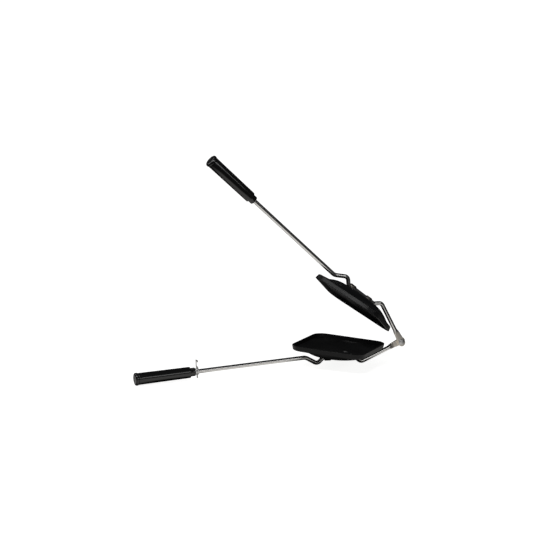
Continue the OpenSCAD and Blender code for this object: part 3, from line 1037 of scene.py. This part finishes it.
# Rods
@dataclass(frozen=True)
class BentRod:
    """One rod, from the lapped blade at the pin to the threaded end in the handle."""

    pan: Pan
    rod_d: float = 6.35
    arm_angle: float = 24.0
    seat_front: float = 28.0
    seat_back: float = 24.5
    front_rise: float = 36.0
    rise_angle: float = 47.0
    fall_angle: float = 27.0
    toe_x: float = 52.5
    toe_h: float = 19.3
    bend_r: float = 7.0
    seat_bend_r: float = 4.5
    toe_bend_r: float = 12.0
    bend_steps: int = 4
    bend_step_deg: float = 5.0
    thread_from: float = 250.6
    thread_to: float = 257.0
    thread_d: float = 6.0
    chamfer: float = 0.5
    knuckle_r: float = 5.6
    knuckle_over: float = 1.8
    flare: float = 22.0
    flare_over: float = 0.3
    flare_slope: float = 0.2
    shoulder: float = 12.0
    blade_t: float = 3.0
    blade_gap: float = 0.2
    pin_d: float = 5.0
    pin_play: float = 0.04
    ring_points: int = 40
    smooth_deg: float = 35.0

    @property
    def radius(self) -> float:
        """Radius of the rod."""
        return self.rod_d / 2

    @property
    def along(self) -> Vector:
        """Direction of the straight rod that carries the handle, in the half's plane."""
        grip = math.radians(GRIP_ANGLE)
        return Vector((-math.cos(grip), 0, math.sin(grip)))

    @property
    def toe(self) -> Vector:
        """Corner of the toe bend, in the half's plane."""
        return Vector((-self.toe_x - self.pan.reach, 0, self.pan.rim_gap / 2 + self.toe_h))

    def along_grip(self, distance: float) -> Matrix:
        """Placement of what is turned round the straight rod.

        Args:
            distance: how far from the toe it goes, in millimetres.

        Returns:
            The matrix from +Z at the origin to that place in the frame.
        """
        turn = Matrix.Rotation(math.radians(GRIP_ANGLE - 90), 4, "Y")
        place = Matrix.Translation((self.toe + self.along * distance) * MM)
        return STANDING.matrix(self.pan.half) @ place @ turn

    def route(self) -> list[tuple[Vector, float]]:
        """Works out the corners of the rod's axis from its angles and where it sits on the pan.

        Returns:
            The corner points in the half's plane, each with its bend radius.
        """
        seat_h = self.pan.rim_gap / 2 + self.pan.dome_h + self.radius
        arm, front_rise, rise, fall = (
            math.tan(math.radians(a))
            for a in (self.arm_angle, self.front_rise, self.rise_angle, self.fall_angle)
        )
        front, back = self.seat_front - self.pan.reach, -self.seat_back - self.pan.reach
        bend_x = (front * front_rise - seat_h) / (arm + front_rise)
        run = (self.toe.z - seat_h + (back - self.toe.x) * fall) / (rise + fall)
        slope = math.radians(self.arm_angle)
        start = Vector((-math.cos(slope), 0, math.sin(slope)))
        return [
            (start * self.flare, 0.0),
            (Vector((bend_x, 0, -bend_x * arm)), self.bend_r),
            (Vector((front, 0, seat_h)), self.seat_bend_r),
            (Vector((back, 0, seat_h)), self.seat_bend_r),
            (Vector((back - run, 0, seat_h + run * rise)), self.bend_r),
            (self.toe, self.toe_bend_r),
            (self.toe + self.along * self.thread_from, 0.0),
        ]

    def build(self) -> None:
        """Models the rod, forges its blade, drills it, places it and hands it over."""
        points = self.route()
        start, line = points[0][0], (points[1][0] - points[0][0]).normalized()
        piece = start_ring(self.ring_points, self.radius, start, line.to_track_quat("Z", "Y").to_euler())
        self.run_along(points)
        self.thread(points[-1][0])
        self.forge(piece)
        bore = self.pin_d + 2 * self.pin_play
        drill(piece, [(0.0, 0.0)], bore, 3 * self.blade_t, points=48, turn_deg=90.0)
        settle(piece, STANDING.matrix(self.pan.half), self.smooth_deg)
        hand_over(piece, CHROME, self.pan.half.value, f"{self.pan.half.prefix}_rod")

    def run_along(self, points: Sequence[tuple[Vector, float]]) -> None:
        """Extrudes the ring along each straight run and spins it round each bend.

        A bend has a step for every few degrees, and never fewer than bend_steps.

        Args:
            points: the corners of the rod's axis, each with its bend radius.
        """
        here = points[0][0].copy()
        for (before, _), (corner, bend), (after, _) in zip(points, points[1:], points[2:]):
            into, out = (corner - before).normalized(), (after - corner).normalized()
            turn = into.angle(out)
            setback = bend * math.tan(turn / 2)
            next_ring(corner - into * setback - here)
            axis = out.cross(into).normalized()
            centre = corner + (out - into).normalized() * bend / math.cos(turn / 2)
            steps = max(self.bend_steps, round(math.degrees(turn) / self.bend_step_deg))
            bpy.ops.mesh.spin(steps=steps, angle=turn, center=centre * MM, axis=axis)
            here = corner + out * setback
        next_ring(points[-1][0] - here)

    def thread(self, end: Vector) -> None:
        """Turns the rod's end down to the thread's size and closes it.

        Args:
            end: where the thread starts, in the half's plane.
        """
        length = self.thread_to - self.thread_from
        next_ring((0, 0, 0), [self.thread_d / self.rod_d] * 3, end)
        next_ring(self.along * (length - self.chamfer))
        share = 1 - 2 * self.chamfer / self.thread_d
        next_ring(self.along * self.chamfer, [share] * 3, end + self.along * length)
        bpy.ops.mesh.edge_face_add()
        bpy.ops.object.mode_set(mode="OBJECT")

    def forge(self, piece: bpy.types.Object) -> None:
        """Draws the rod's other end out into the blade, ring by ring, and rounds its tip.

        Args:
            piece: the rod, active and in object mode.
        """
        arm = math.radians(self.arm_angle)
        away = Vector((-math.cos(arm), 0, math.sin(arm)))
        up = Vector((math.sin(arm), 0, math.cos(arm)))
        side = 1.0 if self.pan.half is Half.LOWER else -1.0
        start = self.flare * MM
        turn = {
            v.index: math.atan2(v.co.dot(up), side * v.co.y)
            for v in piece.data.vertices
            if same(v.co.dot(away), start)
        }
        pick_edges(piece, lambda *ends: all(same(end.dot(away), start) for end in ends))
        for station, half_t, half_w, offset, power in self.sections():
            next_ring((0, 0, 0))
            bpy.ops.object.mode_set(mode="OBJECT")
            points = piece.data.vertices
            places = {self.key(points[i].co): a for i, a in turn.items()}
            turn = {v.index: places[self.key(v.co)] for v in points if v.select}
            for i, a in turn.items():
                c, s = math.cos(a), math.sin(a)
                y = offset + half_t * math.copysign(abs(c) ** (2 / power), c)
                w = half_w * math.copysign(abs(s) ** (2 / power), s)
                place = (away * station + up * w) * MM
                place.y = side * y * MM
                points[i].co = place
            bpy.ops.object.mode_set(mode="EDIT")
        bpy.ops.mesh.edge_face_add()
        bpy.ops.object.mode_set(mode="OBJECT")

    @staticmethod
    def key(place: Vector) -> tuple[int, ...]:
        """A point's place in hundredths of a micrometre, to find the point it was drawn from."""
        return tuple(round(c * 1e8) for c in place)

    def sections(self) -> Iterable[tuple[float, float, float, float, float]]:
        """Cross-sections of the blade from the rod to the tip.

        Yields:
            Distance from the pin, half thickness, half width, offset and squareness.
        """
        shoulder_stations = (21.2, 20.4, 19.4, 18.2, 17.0, 15.8, 14.6, 13.6, 12.7, self.shoulder)
        blade_stations = (9.0, 6.0, 3.0, 0.6)
        knuckle_degs = (8, 20, 32, 44, 55, 65)
        tip_insets = ((0.35, 1.0), (0.15, 0.94), (0.05, 0.82), (0.01, 0.6))
        round_power, blade_power, tip_power = 2.0, 9.0, 6.0
        flat, offset = self.blade_t / 2, (self.blade_gap + self.blade_t) / 2
        root = self.radius + self.flare_over
        widen = (self.knuckle_r - root) / (self.flare + self.knuckle_over)
        for station in shoulder_stations:
            flared = self.flare - station
            u = flared / (self.flare - self.shoulder)
            eased = u * u * (3 - 2 * u)
            thick = self.radius + (flat - self.radius) * eased
            width = min(root + widen * flared, self.radius + self.flare_slope * flared)
            power = round_power + (blade_power - round_power) * eased
            yield station, thick, width, offset * eased, power
        for station in blade_stations:
            yield station, flat, root + widen * (self.flare - station), offset, blade_power
        for a in map(math.radians, knuckle_degs):
            station = -self.knuckle_over - self.knuckle_r * math.sin(a)
            yield station, flat, self.knuckle_r * math.cos(a), offset, blade_power
        for inset, share in tip_insets:
            far = self.knuckle_r - inset
            width = math.sqrt(self.knuckle_r ** 2 - far ** 2)
            yield -self.knuckle_over - far, flat * share, width, offset, tip_power


# Hinge
@dataclass(frozen=True)
class HingeRivet:
    """The rivet through both blades and the washer under its tail, which ride on the lower half."""

    rod: BentRod
    head_r: float = 4.8
    head_h: float = 2.0
    tail_r: float = 3.75
    tail_h: float = 1.4
    washer: float = 1.0
    clear: float = 0.02
    edge: float = 0.2
    washer_edge: float = 0.15

    def build(self) -> None:
        """Models the rivet and its washer and hands them over."""
        gap, face = self.rod.blade_gap / 2, self.rod.blade_gap / 2 + self.rod.blade_t
        place = Matrix.Translation(STANDING.pin) @ Matrix.Rotation(math.radians(90), 4, "X")
        pin_r = self.rod.pin_d / 2
        tail_at = -face - self.washer
        profile = dome(tail_at, self.tail_r, -self.tail_h)[::-1]
        profile += [(tail_at, pin_r), (face + gap, pin_r)]
        rivet = turned(profile + dome(face + gap, self.head_r, self.head_h))
        ease_edges(rivet, self.edge, DOME_EDGE_DEG)
        settle(rivet, place)
        hand_over(rivet, RIVET_STEEL, Half.LOWER.value, "hinge_rivet")
        bore = pin_r + self.clear
        ring = [(tail_at, bore), (tail_at, self.head_r), (-face, self.head_r), (-face, bore), (tail_at, bore)]
        washer = turned(ring, bored=True)
        ease_edges(washer, self.washer_edge)
        settle(washer, place)
        hand_over(washer, PRESSED_STEEL, Half.LOWER.value, "hinge_washer")


# Handles
@dataclass(frozen=True)
class Handle:
    """One moulded handle with the washer, nut and end cap in its rear end."""

    rod: BentRod
    neck_at: float = 173.5
    neck_r: float = 6.25
    neck_len: float = 7.5
    fillet: tuple[float, float] = (0.3, 0.25)
    front_r: float = 8.1
    rear_r: float = 8.6
    length: float = 79.0
    edge: float = 0.9
    taper_shares: tuple[float, ...] = (0.25, 0.5, 0.75)
    bore_r: float = 3.255
    recess_r: float = 6.2
    recess_depth: float = 9.4
    recess_lip: float = 0.3
    bead_r: float = 9.3
    bead_t: float = 4.4
    bead_edge: tuple[float, float] = (1.9, 2.6)
    dish: tuple[tuple[float, float], ...] = ((0.85, 0.04), (0.6, 0.2), (0.2, 0.3))
    spigot: float = 2.2
    spigot_clear: float = 0.1
    spigot_chamfer: float = 0.4
    washer_edge: float = 0.12
    nut_edge: float = 0.3
    ring_points: int = 72

    def build(self) -> None:
        """Models the handle and its cap, eases the washer and the nut, and hands them over."""
        prefix, body = self.rod.pan.half.prefix, self.rod.pan.half.value
        handle = self.barrel()
        settle(handle, self.rod.along_grip(self.neck_at))
        hand_over(handle, PLASTIC, body, f"{prefix}_handle")
        cap = self.cap()
        settle(cap, self.rod.along_grip(self.neck_at + self.neck_len + self.length))
        hand_over(cap, PLASTIC, body, f"{prefix}_end_cap")
        for name, width in (("washer", self.washer_edge), ("nut", self.nut_edge)):
            node = f"{prefix}_handle_{name}"
            hand_over(eased_copy(node, width), PRESSED_STEEL, body, node)

    def barrel(self) -> bpy.types.Object:
        """Turns the handle: neck, shoulder, tapered barrel, recess and bore.

        Returns:
            The handle along +Z from its neck.
        """
        both, rear = (self.edge, self.edge), self.neck_len + self.length
        fillet_along, fillet_across = self.fillet
        floor = rear - self.recess_depth
        profile = [(0.0, self.bore_r)]
        profile += rounded(self.edge, self.neck_r - self.edge, both, -90, 0)
        profile += [(self.neck_len - fillet_along, self.neck_r), (self.neck_len, self.neck_r + fillet_across)]
        profile += rounded(self.neck_len + self.edge, self.front_r - self.edge, both, -90, 0)
        for share in self.taper_shares:
            radius = self.front_r + (self.rear_r - self.front_r) * share
            profile.append((self.neck_len + self.length * share, radius))
        profile += rounded(rear - self.edge, self.rear_r - self.edge, both, 0, 90)
        profile += [(rear, self.recess_r + self.recess_lip), (rear - self.recess_lip, self.recess_r)]
        profile += [(floor, self.recess_r), (floor, self.bore_r), profile[0]]
        return turned(profile, self.ring_points, bored=True)

    def cap(self) -> bpy.types.Object:
        """Turns the end cap: a spigot and a rounded bead with a faintly dished end.

        Returns:
            The cap along +Z from the handle's rear end.
        """
        spigot_r, chamfer = self.recess_r - self.spigot_clear, self.spigot_chamfer
        along, across = self.bead_edge
        front, flat = along / 2, self.bead_r - across
        profile = [(-self.spigot, spigot_r - chamfer), (-self.spigot + chamfer, spigot_r), (0.0, spigot_r)]
        profile += rounded(front, self.bead_r - front, (front, front), -90, 0)
        profile += rounded(self.bead_t - along, flat, (along, across), 0, 90)
        profile += [(self.bead_t - depth, flat * share) for share, depth in self.dish]
        return turned(profile, self.ring_points)


# Latch
@dataclass(frozen=True)
class Latch:
    """The clip on the lower rod, the spacer behind it and the ring that keeps it there."""

    handle: Handle
    spacer_len: float = 2.8
    ring_r: float = 4.6
    ring_t: float = 1.1
    clip_t: float = 1.2
    play: float = 0.12
    clear: float = 0.02
    ring_edge: float = 0.2
    clip_edge: float = 0.28

    def build(self) -> None:
        """Models the clip and its two rings and hands them over."""
        rod = self.handle.rod
        bore, outer = rod.radius + self.clear, self.ring_r
        spacer_at = self.handle.neck_at - self.spacer_len
        ring_at = spacer_at - self.play - self.clip_t - self.ring_t
        for node, at, length in (
            ("latch_spacer", spacer_at, self.spacer_len), ("latch_retainer", ring_at, self.ring_t),
        ):
            piece = turned([(0, bore), (0, outer), (length, outer), (length, bore), (0, bore)], bored=True)
            ease_edges(piece, self.ring_edge)
            settle(piece, rod.along_grip(at))
            hand_over(piece, ZINC, Half.LOWER.value, node)
        hand_over(eased_copy("latch_clip", self.clip_edge), ZINC, "latch", "latch_clip")


# Studio
@dataclass(frozen=True)
class Lamp:
    """One soft light: where it is, where it points, its size and its power."""

    name: str
    place: tuple[float, float, float]
    aim: tuple[float, float, float]
    size: tuple[float, float]
    watts: float

    def hang(self) -> None:
        """Adds the lamp to the scene."""
        data = bpy.data.lights.new(self.name, "AREA")
        data.shape = "RECTANGLE"
        data.size, data.size_y = self.size[0] * MM, self.size[1] * MM
        data.energy = self.watts
        lamp = bpy.data.objects.new(self.name, data)
        lamp.location = Vector(self.place) * MM
        lamp.rotation_euler = (Vector(self.aim) * MM - lamp.location).to_track_quat("-Z", "Y").to_euler()
        bpy.context.scene.collection.objects.link(lamp)


@dataclass(frozen=True)
class Studio:
    """The pale floor, the soft lights and the camera."""

    camera_place: tuple[float, float, float] = (-889.9, -2220.8, 628.2)
    camera_aim: tuple[float, float, float] = (16.69, 57.5, 140.74)
    focal_px: float = 1676.4
    sensor: float = 36.0
    nearest: float = 50.0
    farthest: float = 30000.0
    floor_size: float = 1500.0
    floor_drop: float = 0.05
    paper: tuple[float, float, float, float] = (0.9, 0.9, 0.895, 1.0)
    paper_roughness: float = 0.9
    seen_white: tuple[float, float, float, float] = (1.0, 1.0, 0.995, 1.0)
    floor_seen: float = 0.9
    backdrop_seen: float = 1.1
    # Painted light: the floor's glow round the toaster, with painted shadows in it under the pan and the handle
    floor_glow: tuple[float, float, float, float] = (1.0, 0.985, 0.96, 1.0)
    floor_lit: float = 0.6
    lit_round: tuple[float, float] = (0.0, -75.0)
    lit_to: float = 190.0
    dark_at: float = 310.0
    shaded_round: tuple[float, float] = (104.0, 10.0)
    shaded_to: float = 48.0
    unshaded_at: float = 95.0
    handle_round: tuple[float, float] = (-165.0, 0.0)
    handle_squeeze: float = 0.2
    handle_shaded_to: float = 8.0
    handle_unshaded_at: float = 17.0
    room_colour: tuple[float, float, float, float] = (0.93, 0.96, 1.0, 1.0)
    room: float = 0.03
    lamps: tuple[Lamp, ...] = (
        Lamp("softbox_left", place=(-610, -540, 1300), aim=(110, 0, 100), size=(700, 500), watts=6.5),
        Lamp("softbox_front", place=(440, -1365, 640), aim=(-60, 0, 60), size=(1200, 280), watts=2.0),
        Lamp("softbox_back", place=(-1050, 1300, 1300), aim=(60, 0, 100), size=(1000, 800), watts=4.5),
    )

    def build(self) -> None:
        """Makes the floor, the lights, the surroundings and the camera."""
        self.floor()
        for lamp in self.lamps:
            lamp.hang()
        self.surroundings()
        self.camera()

    def floor(self) -> None:
        """A pale floor that lights the toaster from below only near it, as a table top does: its glow is painted
        light, darkened by painted shadows under the pan and the handle.
        """
        clear_selection()
        bpy.ops.mesh.primitive_plane_add(size=self.floor_size * MM, location=(0, 0, -self.floor_drop * MM))
        floor = bpy.context.object
        floor.name = "studio_floor"
        material = bpy.data.materials.new("studio_paper")
        material.use_nodes = True
        tree = material.node_tree
        shader = set_up(
            tree, tree.nodes["Principled BSDF"], Base_Color=self.paper, Roughness=self.paper_roughness,
            Emission_Color=self.seen_white, Emission_Strength=self.floor_seen,
        )
        lit = self.spread(tree, self.lit_round, (self.lit_to, self.dark_at), (self.floor_lit, self.room))
        # Painted shadows in the floor's glow, under the pan and under the handle
        painted_shadow_of_pan = self.spread(tree, self.shaded_round, (self.shaded_to, self.unshaded_at), (0.0, 1.0))
        painted_shadow_of_handle = self.spread(
            tree, self.handle_round, (self.handle_shaded_to, self.handle_unshaded_at), (0.0, 1.0),
            self.handle_squeeze,
        )
        shades = add_node(tree, "Math", painted_shadow_of_pan, painted_shadow_of_handle, operation="MULTIPLY")
        strength = add_node(tree, "Math", lit, shades.outputs["Value"], operation="MULTIPLY")
        glow = add_node(tree, "Emission", Color=self.floor_glow, Strength=strength.outputs["Value"])
        out = tree.nodes["Material Output"]
        self.show(tree, shader.outputs["BSDF"], glow.outputs["Emission"], out)
        floor.data.materials.append(material)

    @staticmethod
    def spread(
        tree: bpy.types.NodeTree, centre: tuple[float, float], reach: tuple[float, float],
        values: tuple[float, float], squeeze: float = 1.0,
    ) -> bpy.types.NodeSocket:
        """A number that changes with the distance from a place on the floor.

        Args:
            tree: the floor's material.
            centre: X and Y of the place.
            reach: distances at which the change starts and ends.
            values: the number before and after.
            squeeze: share at which distances along X count.

        Returns:
            The output that gives the number.
        """
        place = add_node(tree, "TexCoord").outputs["Object"]
        squeezed = add_node(tree, "VectorMath", place, (squeeze, 1, 1), operation="MULTIPLY")
        away = add_node(
            tree, "VectorMath", squeezed.outputs["Vector"], (centre[0] * squeeze * MM, centre[1] * MM, 0),
            operation="DISTANCE",
        )
        fade = add_node(
            tree, "MapRange", interpolation_type="SMOOTHSTEP", Value=away.outputs["Value"],
            From_Min=reach[0] * MM, From_Max=reach[1] * MM, To_Min=values[0], To_Max=values[1],
        )
        return fade.outputs["Result"]

    @staticmethod
    def show(
        tree: bpy.types.NodeTree, seen: bpy.types.NodeSocket, lights: bpy.types.NodeSocket,
        out: bpy.types.Node,
    ) -> None:
        """Shows one shader to the camera, while another lights the toaster.

        Args:
            tree: the stage's material or its surroundings.
            seen: the shader that the camera sees.
            lights: the shader that lights the toaster and is reflected in it.
            out: the tree's output node.
        """
        ray = add_node(tree, "LightPath")
        mix = add_node(tree, "MixShader", ray.outputs["Is Camera Ray"], lights, seen)
        set_up(tree, out, Surface=mix.outputs["Shader"])

    def surroundings(self) -> None:
        """A white backdrop for the eye and a dim room for the reflections."""
        world = bpy.data.worlds.new("studio_room")
        bpy.context.scene.world = world
        world.use_nodes = True
        tree = world.node_tree
        tree.nodes.clear()
        seen = add_node(tree, "Background", Color=self.seen_white, Strength=self.backdrop_seen)
        room = add_node(tree, "Background", Color=self.room_colour, Strength=self.room)
        out = add_node(tree, "OutputWorld")
        self.show(tree, seen.outputs["Background"], room.outputs["Background"], out)
        bpy.context.scene.view_settings.view_transform = "Standard"

    def camera(self) -> None:
        """The camera at the photograph's angle."""
        data = bpy.data.cameras.new("studio_camera")
        data.sensor_width = self.sensor
        data.lens = self.focal_px / PICTURE_PX * self.sensor
        data.clip_start, data.clip_end = self.nearest * MM, self.farthest * MM
        camera = bpy.data.objects.new("studio_camera", data)
        camera.location = Vector(self.camera_place) * MM
        line = Vector(self.camera_aim) * MM - camera.location
        camera.rotation_euler = line.to_track_quat("-Z", "Y").to_euler()
        bpy.context.scene.collection.objects.link(camera)
        bpy.context.scene.camera = camera


def main() -> None:
    """Builds everything in order."""
    logging.basicConfig(level=logging.INFO, format="%(name)s: %(message)s")
    Studio().build()
    for half in Half:
        pan = Pan(half)
        rod = BentRod(pan)
        handle = Handle(rod)
        for part in (pan, rod, Saddle(pan), handle):
            part.build()
        if half is Half.LOWER:
            HingeRivet(rod).build()
            Latch(handle).build()
    left = [name for name, node in frame["nodes"].items() if not node.hide_render]
    LOG.info("nodes left as they are: %s", left)


if __name__ == "__main__":
    main()
